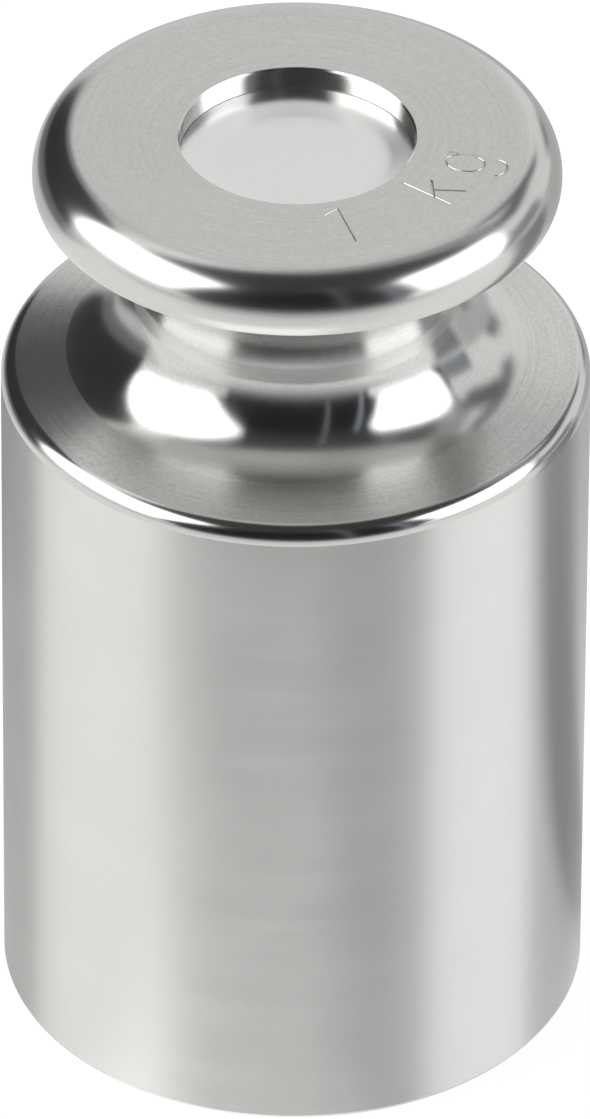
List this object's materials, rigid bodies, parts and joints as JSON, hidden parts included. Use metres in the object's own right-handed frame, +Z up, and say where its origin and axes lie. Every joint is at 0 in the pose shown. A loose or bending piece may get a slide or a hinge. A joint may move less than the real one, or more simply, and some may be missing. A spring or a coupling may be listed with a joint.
{
  "type": "knob weight for balance calibration",
  "caption": "Cylindrical steel weight with a lifting knob on a hollowed neck and a sealed adjusting cavity under a pressed disc.",
  "frame": {"origin": "centre of the base, on the surface that the weight stands on", "axes": "+Z up along the turning axis, towards the knob; +X to the right as the knob's marking is read from the front, -Y to the front"},
  "size_m": [0.048, 0.048, 0.0819],
  "materials": {
    "turned_steel": "finely turned stainless steel, with polished rounds and neck",
    "disc_aluminium": "smooth satin aluminium",
    "shot_steel": "bright steel pellets"
  },
  "bodies": {
    "root": {"body": "turned_steel", "closing_disc": "disc_aluminium", "adjusting_shot": "shot_steel"}
  },
  "joints": []
}
